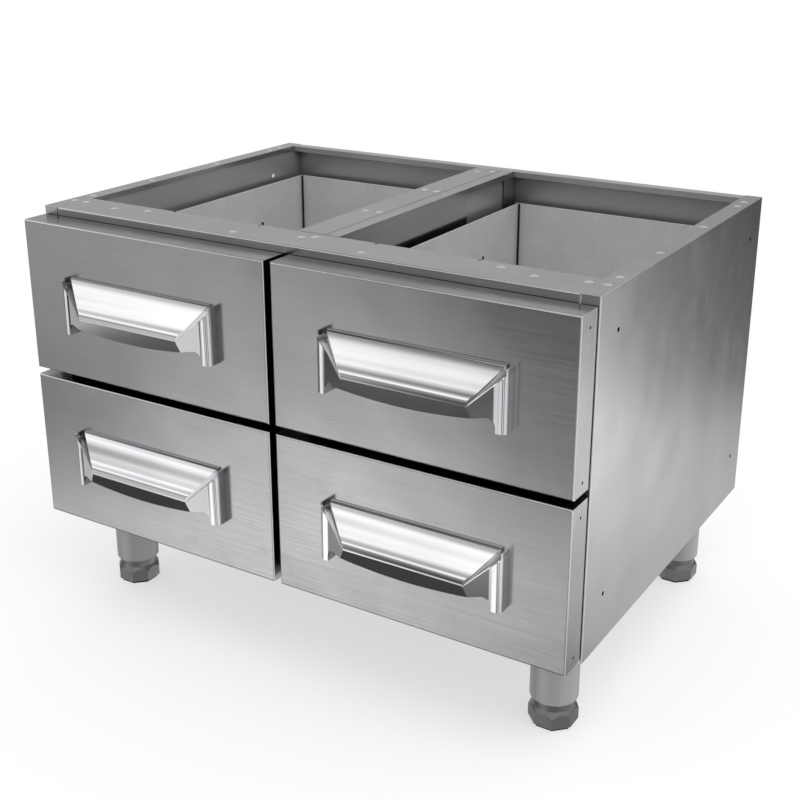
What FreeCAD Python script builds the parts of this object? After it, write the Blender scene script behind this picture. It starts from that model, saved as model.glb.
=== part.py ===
import FreeCAD, Part
import math
import os
import re
import Sketcher

# Outdoor kitchen drawer unit: four drawers in a folded stainless steel cabinet on four levelling legs.
# X is the width, -Y the front and Z up. The origin is on the floor, under the middle of the whole unit.

doc = FreeCAD.newDocument("DrawerUnit")
sheet = doc.addObject("Spreadsheet::Sheet", "Sizes")

SIZES = [
    ("body_width", 800, "outer width of the cabinet"),
    ("body_depth", 548, "front plane of the frame to the back"),
    ("body_height", 436, "bottom of the cabinet to its top frame"),
    ("gauge", 1, "sheet thickness"),
    ("fold_radius", 2, "outer radius of a folded edge"),
    ("seam", 0.3, "gap between sheets that meet edge to edge"),
    ("side_flange", 22, "front and back flanges of the side panels"),
    ("top_flange", 24, "top flange of the side panels"),
    ("back_flange", 20, "top flange of the back panel"),
    ("top_lip", 8, "downturned lip of the top flanges"),
    ("tray_edge", 20, "upturned edge of the bottom panel"),
    ("rail_depth", 65, "top front rail, front to back"),
    ("rail_drop", 30, "front face of the top front rail"),
    ("rail_tab", 18, "tabs of the rail under the flanges beside it"),
    ("liner_inset", 23, "outer side to the face that carries the runners"),
    ("divider_width", 50, "partition between its two faces"),
    ("bar_width", 61, "bar on top of the partition"),
    ("bar_split", 10.5, "middle of the cabinet to the seam in the bar"),
    ("bar_seam", 1.2, "width of that seam"),
    ("notch_start", 395, "cabinet front to the cut-out in the partition"),
    ("notch_length", 115, "length of the cut-out in the partition"),
    ("notch_depth", 60, "depth of the cut-out in the partition"),
    ("join_hole_radius", 3, "holes for joining a neighbouring unit"),
    ("join_hole_front", 52, "cabinet front to the first joining holes"),
    ("join_hole_back", 40, "cabinet back to the last joining holes"),
    ("join_hole_top", 50, "cabinet top to the upper joining holes"),
    ("join_hole_bottom", 66, "cabinet bottom to the lower joining holes"),
    ("side_reveal", 2.3, "cabinet side to the nearest drawer front"),
    ("top_reveal", 10.7, "cabinet top to the upper drawer fronts"),
    ("bottom_reveal", 4.6, "cabinet bottom to the lower drawer fronts"),
    ("column_gap", 9.6, "gap between drawer fronts side by side"),
    ("row_gap", 10.1, "gap between drawer fronts one above the other"),
    ("front_depth", 38.5, "thickness of a drawer front"),
    ("bumper_gap", 1.5, "drawer front to the cabinet when closed"),
    ("bumper_side", 10, "square bumper pads"),
    ("bumper_inset", 35, "top and bottom of a drawer front to its bumper pads"),
    ("box_height", 150, "height of a drawer box"),
    ("box_drop", 37, "top of a drawer front to the rim of its box"),
    ("box_back_gap", 16, "back of a drawer box to the back of the cabinet"),
    ("corner_slit", 2.5, "open seam at the back corners of a box"),
    ("slit_foot", 10, "box bottom to the end of the open seam"),
    ("runner_width", 12.7, "room for the runners beside a box"),
    ("runner_height", 45, "height of the fixed runner member"),
    ("runner_length", 500, "length of the runners"),
    ("runner_setback", 4, "cabinet front to the runners"),
    ("runner_rise", 75, "box bottom to the middle of its runners"),
    ("runner_gauge", 1.2, "sheet of the runners"),
    ("runner_play", 0.5, "clearance between runner members"),
    ("runner_lip", 9.5, "depth of the fixed runner member"),
    ("leg_radius", 30, "leg tube"),
    ("leg_wall", 1.5, "wall of the leg tube"),
    ("leg_length", 96, "leg tube below the cabinet"),
    ("leg_cap", 3, "welded end of the leg tube"),
    ("leg_shoulder", 1.3, "bevel at the lower end of the leg tube"),
    ("leg_side_inset", 60, "cabinet side to the leg centres"),
    ("leg_front_inset", 63, "cabinet front to the front leg centres"),
    ("leg_back_inset", 62, "cabinet back to the rear leg centres"),
    ("bolt_radius", 5, "leg bolts"),
    ("bolt_head", 9, "across the corners of the bolt heads, as a radius"),
    ("bolt_head_height", 6.4, "height of the bolt heads"),
    ("bolt_reach", 6, "bolt end below the end of the leg tube"),
    ("bolt_play", 0.2, "clearance round the leg bolts"),
    ("insert_height", 14, "threaded insert in the mouth of a leg tube"),
    ("insert_play", 0.1, "clearance between insert and tube"),
    ("insert_wall", 1.6, "wall of that insert"),
    ("neck_play", 0.3, "clearance between the neck and its insert"),
    ("neck_shown", 10, "neck below the tube"),
    ("flare_height", 8, "flare from the neck to the base of a foot"),
    ("base_height", 14, "straight part of the base of a foot"),
    ("base_radius", 31, "base of a foot across its corners, as a radius"),
    ("pad_height", 4.5, "black pad under a foot"),
    ("pad_inset", 4, "corners of the base to the corners of the pad"),
    ("foot_travel", 30, "how far a foot screws out"),
    ("handle_width", 245, "across the end posts"),
    ("handle_height", 74, "end posts, bottom to top"),
    ("handle_reach", 29, "drawer front to the nose of the handle"),
    ("handle_rise", 65, "bottom of a drawer front to the bottom of its handle"),
    ("handle_wall", 3, "wall of the handle"),
    ("post_width", 12, "end posts"),
    ("post_front", 12, "nose of the handle to the face of the end posts"),
    ("post_round", 7, "rounded outer corner of the end posts"),
    ("post_rim", 2, "outer wall of the end posts beside the sloping rim"),
    ("cheek_bend", 22, "hollow bend from an end post into the cheek"),
    ("nose_end", 42.5, "end of the handle to the end of its straight nose"),
    ("nose_height", 28.8, "bottom of the posts to the nose"),
    ("nose_curl", 16.4, "radius of the bend above the nose"),
    ("curl_turn", 43, "turn of that bend, in degrees"),
    ("throat_radius", 25, "hollow bend of the roof"),
    ("roof_angle", 60, "slope of the roof, in degrees"),
    ("ledge_radius", 4, "bend from the roof into its flat top"),
    ("mitre_start", 7.5, "end of the handle to the end of the roof at the drawer front"),
    ("rim_slope", 43.5, "slope of the rim of the cheeks, in degrees"),
    ("rim_bevel", 1, "bevel along the front of that rim"),
    ("belly_back", 5, "nose to the foot of the sloping front strip"),
    ("belly_height", 9.4, "bottom of the posts to the middle of the strip's lower edge"),
    ("belly_rise", 8, "rise of that edge towards its ends"),
    ("gap_round", 11, "rounded upper corners of the finger gap"),
]

for row, (alias, number, meaning) in enumerate(SIZES, start=1):
    sheet.set(f"A{row}", alias)
    sheet.set(f"B{row}", str(number))
    sheet.setAlias(f"B{row}", alias)
    sheet.set(f"C{row}", meaning)
doc.recompute()

ALIASES = re.compile(r"\b(" + "|".join(alias for alias, number, meaning in SIZES) + r")\b")


def bound(formula):
    """A formula in the sheet's own words, as an expression that reads the sheet."""
    return ALIASES.sub(r"Sizes.\1", formula)


def worth(formula):
    """The present value of a formula."""
    return float(sheet.evalExpression(bound(formula)))


def bind(thing, **formulas):
    """Tie properties of an object to formulas."""
    for name, formula in formulas.items():
        thing.setExpression(name, bound(formula))


def place(thing, x="0", y="0", z="0"):
    """Tie an object's place to formulas."""
    for axis, formula in (("x", x), ("y", y), ("z", z)):
        thing.setExpression(f"Placement.Base.{axis}", bound(formula))


# Main planes, as formulas

HALF_WIDTH = "(body_width / 2)"
FRONT = "((bumper_gap + front_depth + handle_reach - body_depth) / 2)"
FOOT = "(pad_height + base_height + flare_height + neck_shown)"
BOTTOM = f"({FOOT} + leg_length)"
FACE_WIDTH = "((body_width - 2 * side_reveal - column_gap) / 2)"
FACE_HEIGHT = "((body_height - top_reveal - bottom_reveal - row_gap) / 2)"
BAY_WIDTH = "(body_width / 2 - divider_width / 2 - liner_inset)"
BOX_WIDTH = f"({BAY_WIDTH} - 2 * runner_width)"
BOX_DEPTH = "(body_depth - box_back_gap + bumper_gap)"
INSERT = "(leg_radius - leg_wall - insert_play)"
NECK = f"({INSERT} - insert_wall - neck_play)"

COLUMNS = {"left": f"(side_reveal - {HALF_WIDTH})", "right": "(column_gap / 2)"}
BAYS = {"left": f"(liner_inset - {HALF_WIDTH})", "right": "(divider_width / 2)"}
ROWS = {
    "lower": f"({BOTTOM} + bottom_reveal)",
    "upper": f"({BOTTOM} + bottom_reveal + {FACE_HEIGHT} + row_gap)",
}
DRAWERS = [(row, column) for row in ROWS for column in COLUMNS]

nodes = []


def keep(thing, label):
    """Name an object as one piece of the unit."""
    thing.Label = label
    nodes.append(thing)
    return thing


def new_body(name):
    return doc.addObject("PartDesign::Body", name)


def origin_plane(body, role):
    return next(plane for plane in body.Origin.OriginFeatures if plane.Role == role)


def spot(across, along):
    """The present place of a pair of formulas."""
    return FreeCAD.Vector(worth(across), worth(along), 0)


def bulge(start, end, radius):
    """Middle of an arc between two points. It bends to the right of the way, or left for a minus radius."""
    half = (end - start) / 2
    sag = abs(radius) - math.sqrt(radius * radius - half.Length * half.Length)
    right = FreeCAD.Vector(half.y, -half.x, 0) / half.Length
    return start + half + right * math.copysign(sag, radius)


def rounded(corners, k, radius):
    """The two ends of the arc that rounds a square corner, as formulas, and its signed radius."""
    here, before, after = (spot(*corners[j % len(corners)]) for j in (k, k - 1, k + 1))
    ends = []
    for other in (before, after):
        steps = [round(step / (other - here).Length) for step in (other.x - here.x, other.y - here.y)]
        ends.append(tuple(f"{place} + ({step}) * ({radius})" for place, step in zip(corners[k], steps)))
    turns_left = (here - before).cross(after - here).z > 0
    return ends[0], ends[1], radius if turns_left else f"-({radius})"


def outline(body, name, role, corners, rounds=None, bows=None, raised="0"):
    """A closed sketch through corners given as pairs of formulas.

    rounds gives the radius that rounds a square corner. bows gives a radius for the side that follows
    a corner, which then is an arc: it bends to the right of the way along it, or left with a minus.
    """
    stops = []
    for k, corner in enumerate(corners):
        bow = (bows or {}).get(k)
        if k in (rounds or {}):
            first, last, radius = rounded(corners, k, rounds[k])
            stops.append((first, radius))
            stops.append((last, bow))
        else:
            stops.append((corner, bow))
    sketch = body.newObject("Sketcher::SketchObject", name)
    sketch.AttachmentSupport = (origin_plane(body, role), [""])
    sketch.MapMode = "FlatFace"
    sketch.setExpression("AttachmentOffset.Base.z", bound(raised))
    points = [spot(*corner) for corner, bow in stops]
    sides = []
    for k, (corner, bow) in enumerate(stops):
        start, end = points[k], points[(k + 1) % len(points)]
        if bow is None:
            sides.append((sketch.addGeometry(Part.LineSegment(start, end), False), 1, 2))
            continue
        side = sketch.addGeometry(Part.Arc(start, bulge(start, end, worth(bow)), end), False)
        tie(sketch, Sketcher.Constraint("Radius", side, abs(worth(bow))), f"abs({bow})")
        sides.append((side, 1, 2) if worth(bow) > 0 else (side, 2, 1))
    for k, (corner, bow) in enumerate(stops):
        into, out = sides[k - 1], sides[k]
        sketch.addConstraint(Sketcher.Constraint("Coincident", into[0], into[2], out[0], out[1]))
        tie(sketch, Sketcher.Constraint("DistanceX", -1, 1, out[0], out[1], points[k].x), corner[0])
        tie(sketch, Sketcher.Constraint("DistanceY", -1, 1, out[0], out[1], points[k].y), corner[1])
    return sketch


def tie(sketch, constraint, formula):
    """Add a constraint whose value follows a formula."""
    number = sketch.addConstraint(constraint)
    sketch.setExpression(f"Constraints[{number}]", bound(formula))


def folded(stops):
    """Corners of a folded section, from stops that are across and along by turns."""
    corners = []
    for k in range(len(stops)):
        after = stops[(k + 1) % len(stops)]
        corners.append((stops[k], after) if k % 2 == 0 else (after, stops[k]))
    return corners


def rectangle(left, low, right, high):
    return [(left, low), (right, low), (right, high), (left, high)]


def circles(body, name, role, centres, radius, raised="0"):
    """A sketch of equal circles."""
    sketch = body.newObject("Sketcher::SketchObject", name)
    sketch.AttachmentSupport = (origin_plane(body, role), [""])
    sketch.MapMode = "FlatFace"
    sketch.setExpression("AttachmentOffset.Base.z", bound(raised))
    for across, along in centres:
        centre = spot(across, along)
        ring = sketch.addGeometry(Part.Circle(centre, FreeCAD.Vector(0, 0, 1), worth(radius)), False)
        tie(sketch, Sketcher.Constraint("DistanceX", -1, 1, ring, 3, centre.x), across)
        tie(sketch, Sketcher.Constraint("DistanceY", -1, 1, ring, 3, centre.y), along)
        tie(sketch, Sketcher.Constraint("Radius", ring, worth(radius)), radius)
    return sketch


def pad(body, sketch, length, back=False):
    feature = body.newObject("PartDesign::Pad", sketch.Name + "Pad")
    feature.Profile = sketch
    feature.Reversed = back
    bind(feature, Length=length)
    sketch.Visibility = False
    return feature


def pocket(body, sketch, length=None, back=False):
    """Cut a sketch, to a depth or right through."""
    doc.recompute()
    before = body.Tip.Shape.Volume
    feature = body.newObject("PartDesign::Pocket", sketch.Name + "Pocket")
    feature.Profile = sketch
    feature.Reversed = back
    if length is None:
        feature.Type = "ThroughAll"
    else:
        bind(feature, Length=length)
    doc.recompute()
    if feature.Shape.Volume >= before:
        raise RuntimeError(f"{sketch.Name} cuts nothing")
    return feature


def round_edges(body, name, radius, wanted):
    """Round the edges whose middle passes the wanted test."""
    doc.recompute()
    base = body.Tip
    picked = []
    for k, edge in enumerate(base.Shape.Edges, start=1):
        if wanted(edge.BoundBox.Center):
            picked.append(f"Edge{k}")
    feature = body.newObject("PartDesign::Fillet", name)
    feature.Base = (base, picked)
    bind(feature, Radius=radius)
    return feature


def near(a, b):
    return abs(a - b) < 0.01


# Cabinet


def side_panel():
    """Left side: web, front and back flanges, and a top flange with a downturned lip."""
    body = new_body("LeftSide")
    section = ["0", "0", "side_flange", "gauge", "gauge", "body_depth - gauge", "side_flange", "body_depth"]
    inner = "fold_radius - gauge"
    rounds = {0: "fold_radius", 3: inner, 4: inner, 7: "fold_radius"}
    pad(body, outline(body, "SidePlan", "XY_Plane", folded(section), rounds), "body_height")
    flange = rectangle("0", "body_height - gauge", "top_flange", "body_height")
    flange = outline(body, "SideFlange", "XZ_Plane", flange, raised="gauge / 2 - body_depth")
    pad(body, flange, "body_depth - gauge")
    lip = rectangle("top_flange - gauge", "body_height - top_lip", "top_flange", "body_height")
    lip = outline(body, "SideLip", "XZ_Plane", lip, raised="back_flange + seam - body_depth")
    pad(body, lip, "body_depth - back_flange - rail_depth - 2 * seam")
    holes = [
        (along, up)
        for along in ("join_hole_front", "body_depth - join_hole_back")
        for up in ("join_hole_bottom", "body_height - join_hole_top")
    ]
    pocket(body, circles(body, "JoinHoles", "YZ_Plane", holes, "join_hole_radius"), "2 * gauge", back=True)
    place(body, f"-{HALF_WIDTH}", FRONT, BOTTOM)
    return body


def mirrored(source, name, middle="0"):
    """A copy of a piece turned over to the other side of an upright plane."""
    copy = doc.addObject("Part::Mirroring", name)
    copy.Source = source
    copy.Normal = FreeCAD.Vector(1, 0, 0)
    copy.setExpression("Base.x", bound(middle))
    return copy


def group(name, pieces):
    """Several solids that go by one name."""
    bundle = doc.addObject("Part::Compound", name)
    bundle.Links = pieces
    return bundle


def back_panel():
    """Back: a web between the sides, and a top flange with a lip between their flanges."""
    body = new_body("Back")
    side, low = "(fold_radius + seam)", "(gauge + seam)"
    web = rectangle(side, low, f"body_width - {side}", f"body_height - {low}")
    pad(body, outline(body, "BackWeb", "XZ_Plane", web, raised="gauge - body_depth"), "gauge")
    front, rear = "body_depth - back_flange", "body_depth - gauge"
    lip = "body_height - top_lip"
    stops = [front, lip, f"{front} + gauge", "body_height - gauge"]
    stops += [f"{rear} - gauge", lip, rear, "body_height"]
    start = "(top_flange + seam)"
    section = outline(body, "BackFlange", "YZ_Plane", folded(stops), {6: "fold_radius"}, raised=start)
    pad(body, section, f"body_width - 2 * {start}")
    place(body, f"-{HALF_WIDTH}", FRONT, BOTTOM)
    return body


def bottom_panel():
    """Bottom: a shallow tray between the side panels, with holes for the leg bolts."""
    body = new_body("Bottom")
    left, right = "gauge + seam", "body_width - gauge - seam"
    front, rear = "gauge + seam", "body_depth - 2 * gauge - seam"
    pad(body, outline(body, "TrayPlan", "XY_Plane", rectangle(left, front, right, rear)), "tray_edge")
    hollow = rectangle(f"{left} + gauge", f"{front} + gauge", f"{right} - gauge", f"{rear} - gauge")
    pocket(body, outline(body, "TrayHollow", "XY_Plane", hollow, raised="tray_edge"), "tray_edge - gauge")
    centres = [(across, along) for across, along in LEG_CENTRES.values()]
    holes = circles(body, "LegHoles", "XY_Plane", centres, "bolt_radius + bolt_play", raised="gauge")
    pocket(body, holes, "gauge")
    place(body, f"-{HALF_WIDTH}", FRONT, BOTTOM)
    return body


def liner():
    """Left liner: a channel whose web carries runners and whose flanges meet the side panel."""
    body = new_body("LeftLiner")
    outer, web = "gauge + seam", "liner_inset"
    front, rear = "gauge + seam", "body_depth - 2 * gauge - seam"
    stops = [web, rear, outer, f"{rear} - gauge", f"{web} - gauge", f"{front} + gauge", outer, front]
    plan = outline(body, "LinerPlan", "XY_Plane", folded(stops), raised="tray_edge + seam")
    pad(body, plan, "body_height - top_lip - tray_edge - 2 * seam")
    place(body, f"-{HALF_WIDTH}", FRONT, BOTTOM)
    return body


def turned(corners, hand):
    """Corners as they are, or turned over to the left when hand is -1."""
    if hand > 0:
        return corners
    return [(f"-({across})", along) for across, along in reversed(corners)]


def divider_skin(name, hand, flange_start, flange_end):
    """One channel of the partition: a web that faces a bay, flanges and a top flange with a lip.

    It is drawn for the right and turned over for the left. The web steps over the edges of the
    bottom panel and down under the top rail.
    """
    body = new_body(name)
    face, middle = "divider_width / 2", "seam / 2"
    low, edge = "gauge + seam", "tray_edge + seam"
    lip, top, drop = "body_height - top_lip - seam", "body_height - gauge", "body_height - rail_drop - seam"
    rear, inside = "body_depth - 2 * gauge - seam", "2 * gauge + 2 * seam"
    bar_front, bar_rear = "rail_depth + seam", "body_depth - back_flange - seam"
    steps = ["0", edge, inside, low, f"{rear} - gauge - seam", edge, rear, lip]
    steps += [bar_rear, top, bar_front, lip, low, drop]
    start = f"{face} - gauge" if hand > 0 else f"-{face}"
    pad(body, outline(body, name + "Web", "YZ_Plane", folded(steps), raised=start), "gauge")
    front = rectangle(middle, "0", f"{face} - gauge / 2", "gauge")
    front = outline(body, name + "Front", "XY_Plane", turned(front, hand), raised=low)
    pad(body, front, f"{drop} - ({low})")
    back = rectangle(middle, f"{rear} - gauge", f"{face} - gauge / 2", rear)
    back = outline(body, name + "Back", "XY_Plane", turned(back, hand), raised=edge)
    pad(body, back, f"{lip} - ({edge})")
    lip_low = "body_height - top_lip"
    stops = [flange_end, "body_height", flange_start, top, f"{flange_end} - gauge", lip_low]
    section = turned(folded(stops), hand)
    flange = outline(body, name + "Flange", "XZ_Plane", section, raised=f"-({bar_rear})")
    pad(body, flange, f"{bar_rear} - ({bar_front})")
    if hand > 0:
        notch = rectangle("notch_start", f"{lip} - notch_depth", "notch_start + notch_length", lip)
        notch = outline(body, name + "Notch", "YZ_Plane", notch, raised=start)
        pocket(body, notch, "gauge", back=True)
    place(body, "0", FRONT, BOTTOM)
    return body


def top_front_rail():
    """Front rail of the open top: a folded channel with tabs under the side flanges."""
    body = new_body("FrontRail")
    high, lip = "body_height - gauge", "body_height - top_lip"
    inner = "fold_radius - gauge"
    stops = ["0", "body_height - rail_drop", "gauge", high]
    stops += ["rail_depth - gauge", lip, "rail_depth", "body_height"]
    rounds = {2: inner, 3: inner, 6: "fold_radius", 7: "fold_radius"}
    section = outline(body, "RailSection", "YZ_Plane", folded(stops), rounds, raised="top_flange + seam")
    pad(body, section, "body_width - 2 * top_flange - 2 * seam")
    for side, near_end in (("Left", "0"), ("Right", "body_width - top_flange - rail_tab - gauge - seam")):
        start = f"{near_end} + gauge + seam" if side == "Left" else near_end
        end = f"{start} + top_flange + rail_tab - gauge"
        tab = rectangle(start, "2 * fold_radius", end, "rail_depth - 2 * gauge")
        tab = outline(body, "RailTab" + side, "XY_Plane", tab, raised="body_height - 2 * gauge")
        pad(body, tab, "gauge")
    place(body, f"-{HALF_WIDTH}", FRONT, BOTTOM)
    return body


# Legs

LEG_CENTRES = {
    "front_left": ("leg_side_inset", "leg_front_inset"),
    "front_right": ("body_width - leg_side_inset", "leg_front_inset"),
    "rear_left": ("leg_side_inset", "body_depth - leg_back_inset"),
    "rear_right": ("body_width - leg_side_inset", "body_depth - leg_back_inset"),
}


def leg_place(thing, corner, up):
    across, along = LEG_CENTRES[corner]
    place(thing, f"{across} - {HALF_WIDTH}", f"{FRONT} + {along}", up)


def turn(body, sketch):
    """Turn a sketch once round the upright axis."""
    feature = body.newObject("PartDesign::Revolution", sketch.Name + "Turn")
    feature.Profile = sketch
    feature.ReferenceAxis = (origin_plane(body, "Z_Axis"), [""])
    feature.Angle = 360
    return feature


def leg_tube(corner):
    """Round tube with a welded end plate on top and a bevelled mouth."""
    body = new_body("LegTube_" + corner)
    bore, hole = "leg_radius - leg_wall", "bolt_radius + bolt_play"
    corners = [
        (bore, "-leg_length"),
        ("leg_radius - leg_shoulder", "-leg_length"),
        ("leg_radius", "leg_shoulder - leg_length"),
        ("leg_radius", "0"),
        (hole, "0"),
        (hole, "-leg_cap"),
        (bore, "-leg_cap"),
    ]
    turn(body, outline(body, body.Name + "Section", "XZ_Plane", corners))
    leg_place(body, corner, BOTTOM)
    return body


def leg_insert(corner):
    """Threaded ring in the mouth of a leg tube, which holds the neck of a foot."""
    body = new_body("LegInsert_" + corner)
    stops = [f"{NECK} + neck_play", "-leg_length", INSERT, "insert_height - leg_length"]
    turn(body, outline(body, body.Name + "Section", "XZ_Plane", folded(stops)))
    leg_place(body, corner, BOTTOM)
    return body


def octagon(name, radius, height):
    """Upright eight-sided prism with flats that face the four sides of the cabinet."""
    prism = doc.addObject("Part::Prism", name)
    prism.Polygon = 8
    prism.Placement.Rotation = FreeCAD.Rotation(FreeCAD.Vector(0, 0, 1), 180 / 8)
    bind(prism, Circumradius=radius, Height=height)
    return prism


def foot(corner):
    """Levelling foot: eight-sided base, flare and a neck long enough to screw out."""
    body = new_body("FootTurned_" + corner)
    shoulder = "base_height + flare_height"
    neck_top = f"{shoulder} + neck_shown + foot_travel + insert_height"
    corners = [
        ("0", "0"),
        ("base_radius", "0"),
        ("base_radius", "base_height"),
        (NECK, shoulder),
        (NECK, neck_top),
        ("0", neck_top),
    ]
    turn(body, outline(body, body.Name + "Section", "XZ_Plane", corners))
    prism = octagon("FootPrism_" + corner, "base_radius", neck_top)
    cut = doc.addObject("Part::Common", "Foot_" + corner)
    cut.Base = body
    cut.Tool = prism
    leg_place(cut, corner, "pad_height")
    return cut


def foot_pad(corner):
    """Eight-sided pad between a foot and the floor."""
    prism = octagon("FootPad_" + corner, "base_radius - pad_inset", "pad_height")
    leg_place(prism, corner, "0")
    return prism


def leg_bolt(corner):
    """Hexagon bolt down through the bottom and the end of the leg tube."""
    head = doc.addObject("Part::Prism", "BoltHead_" + corner)
    head.Polygon = 6
    bind(head, Circumradius="bolt_head", Height="bolt_head_height")
    shank = doc.addObject("Part::Cylinder", "BoltShank_" + corner)
    length = "gauge + leg_cap + bolt_reach"
    bind(shank, Radius="bolt_radius", Height=length)
    place(shank, z=f"-({length})")
    bolt = doc.addObject("Part::Fuse", "LegBolt_" + corner)
    bolt.Base = head
    bolt.Tool = shank
    leg_place(bolt, corner, f"{BOTTOM} + gauge")
    return bolt


# Drawers


def front_skin(row, column):
    """Outer skin of a drawer front: a folded pan, open behind."""
    name = f"Skin_{row}_{column}"
    body = new_body(name)
    face = outline(body, name + "Face", "XZ_Plane", rectangle("0", "0", FACE_WIDTH, FACE_HEIGHT))
    pad(body, face, "front_depth", back=True)
    round_edges(body, name + "Round", "fold_radius", lambda middle: near(middle.y, 0))
    inner = rectangle("gauge", "gauge", f"{FACE_WIDTH} - gauge", f"{FACE_HEIGHT} - gauge")
    inner = outline(body, name + "Inner", "XZ_Plane", inner, raised="-front_depth")
    pocket(body, inner, "front_depth - gauge", back=True)
    front_place(body, row, column)
    return body


def front_place(thing, row, column):
    place(thing, COLUMNS[column], f"{FRONT} - bumper_gap - front_depth", ROWS[row])


def front_backing(row, column):
    """Flat sheet that closes the back of a drawer front."""
    name = f"Backing_{row}_{column}"
    body = new_body(name)
    rim = "(gauge + seam)"
    sheet_corners = rectangle(rim, rim, f"{FACE_WIDTH} - {rim}", f"{FACE_HEIGHT} - {rim}")
    pad(body, outline(body, name + "Sheet", "XZ_Plane", sheet_corners, raised="-front_depth"), "gauge")
    front_place(body, row, column)
    return body


def drawer_box(row, column):
    """Folded drawer tray, with seams left open at its back corners."""
    name = f"Box_{row}_{column}"
    body = new_body(name)
    plan = rectangle("0", "0", BOX_WIDTH, BOX_DEPTH)
    pad(body, outline(body, name + "Plan", "XY_Plane", plan), "box_height")
    back = f"{BOX_DEPTH} - gauge"
    hollow = rectangle("gauge", "gauge", f"{BOX_WIDTH} - gauge", back)
    hollow = outline(body, name + "Hollow", "XY_Plane", hollow, raised="box_height")
    pocket(body, hollow, "box_height - gauge")
    for side, left in (("Left", "0"), ("Right", f"{BOX_WIDTH} - gauge")):
        slit = rectangle(left, f"{back} - corner_slit", f"{left} + gauge", back)
        slit = outline(body, name + "Slit" + side, "XY_Plane", slit, raised="box_height")
        pocket(body, slit, "box_height - slit_foot")
    place(body, f"{BAYS[column]} + runner_width", f"{FRONT} - bumper_gap", box_bottom(row))
    return body


def box_bottom(row):
    return f"{ROWS[row]} + {FACE_HEIGHT} - box_drop - box_height"


RUNNERS = {
    "fixed": ("0", "runner_lip", "runner_height / 2"),
    "middle": (
        "runner_gauge + runner_play",
        "runner_width - runner_gauge - runner_play",
        "runner_height / 2 - runner_gauge - runner_play",
    ),
    "drawer": (
        "runner_width",
        "2 * runner_gauge + 2 * runner_play",
        "runner_height / 2 - 2 * runner_gauge - 2 * runner_play",
    ),
}


def runner_pair(row, column, member):
    """The left and right members of one kind: channels that nest in each other."""
    name = f"Runner_{row}_{column}_{member}"
    body = new_body(name)
    back, lip, half = RUNNERS[member]
    inner = f"{back} - runner_gauge" if member == "drawer" else f"{back} + runner_gauge"
    stops = [back, f"-({half})", lip, f"runner_gauge - ({half})"]
    stops += [inner, f"{half} - runner_gauge", lip, half]
    section = outline(body, name + "Section", "XZ_Plane", folded(stops), raised="-runner_setback")
    pad(body, section, "runner_length", back=True)
    place(body, BAYS[column], FRONT, f"{box_bottom(row)} + runner_rise")
    other = mirrored(body, name + "_right", f"{BAYS[column]} + {BAY_WIDTH} / 2")
    return group(name + "_pair", [body, other])


# Handle

HANDLE_MIDDLE = "(handle_width / 2)"
CURL_END = ("(nose_curl * (1 - cos(curl_turn)))", "(nose_height + nose_curl * sin(curl_turn))")
THROAT_END = (
    f"({CURL_END[0]} + throat_radius * (sin(roof_angle) - cos(curl_turn)))",
    f"({CURL_END[1]} + throat_radius * (sin(curl_turn) - cos(roof_angle)))",
)
ROOF_TOP = f"({THROAT_END[0]} + (handle_height - {THROAT_END[1]}) / tan(roof_angle))"
LEDGE_BEND = "(ledge_radius * tan(roof_angle / 2))"


def across_handle(corners):
    """Corners down the left half of the handle, then up the right half."""
    return corners + [(f"handle_width - ({across})", along) for across, along in reversed(corners)]


def handle_cup(name):
    """Lower part: end posts, cheeks that slope up to them, and the strip between with its finger gap."""
    body = new_body(name)
    plan = [("0", "handle_reach"), ("0", "post_front"), ("post_width", "post_front"), ("nose_end", "0")]
    plan = outline(body, name + "Plan", "XY_Plane", across_handle(plan), {1: "post_round", 6: "post_round"})
    pad(body, plan, "handle_height")
    posts = (worth("post_width"), worth("handle_width - post_width"))
    face = worth("post_front")
    round_edges(
        body,
        name + "Cheeks",
        "cheek_bend",
        lambda middle: near(middle.y, face) and any(near(middle.x, post) for post in posts),
    )
    over = "handle_height + gauge"
    rim = [("post_rim", over), ("post_rim", "nose_height + (nose_end - post_rim) * tan(rim_slope)")]
    rim.append(("nose_end", "nose_height"))
    pocket(body, outline(body, name + "Rim", "XZ_Plane", across_handle(rim), raised="gauge"))
    bevel_rim(body, name)
    slope = [("-gauge", "-gauge"), ("belly_back", "-gauge"), ("belly_back", "0"), ("0", "nose_height")]
    slope.append(("-gauge", "nose_height"))
    slope = outline(body, name + "Slope", "YZ_Plane", slope, raised="-gauge")
    pocket(body, slope, "handle_width + 2 * gauge", back=True)
    gap = finger_gap()
    pocket(body, outline(body, name + "Gap", "XZ_Plane", gap[0], bows=gap[1], raised="gauge"))
    room = [("post_width", "handle_reach"), ("post_width", "post_front + handle_wall")]
    room.append(("nose_end", "belly_back + handle_wall"))
    pocket(body, outline(body, name + "Room", "XY_Plane", across_handle(room)), "nose_height", back=True)
    return body


def bevel_rim(body, name):
    """Bevel the front edges of both sloping rims."""
    doc.recompute()
    base = body.Tip
    width, start, low = worth("handle_width"), worth("nose_end"), worth("nose_height")
    steep, back = worth("tan(rim_slope)"), worth("post_front + post_round")
    picked = []
    for k, edge in enumerate(base.Shape.Edges, start=1):
        middle = edge.BoundBox.Center
        inward = start - min(middle.x, width - middle.x)
        if inward > 0.01 and near(middle.z, low + inward * steep) and middle.y < back:
            picked.append(f"Edge{k}")
    bevel = body.newObject("PartDesign::Chamfer", name + "RimBevel")
    bevel.Base = (base, picked)
    bind(bevel, Size="rim_bevel")


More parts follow.
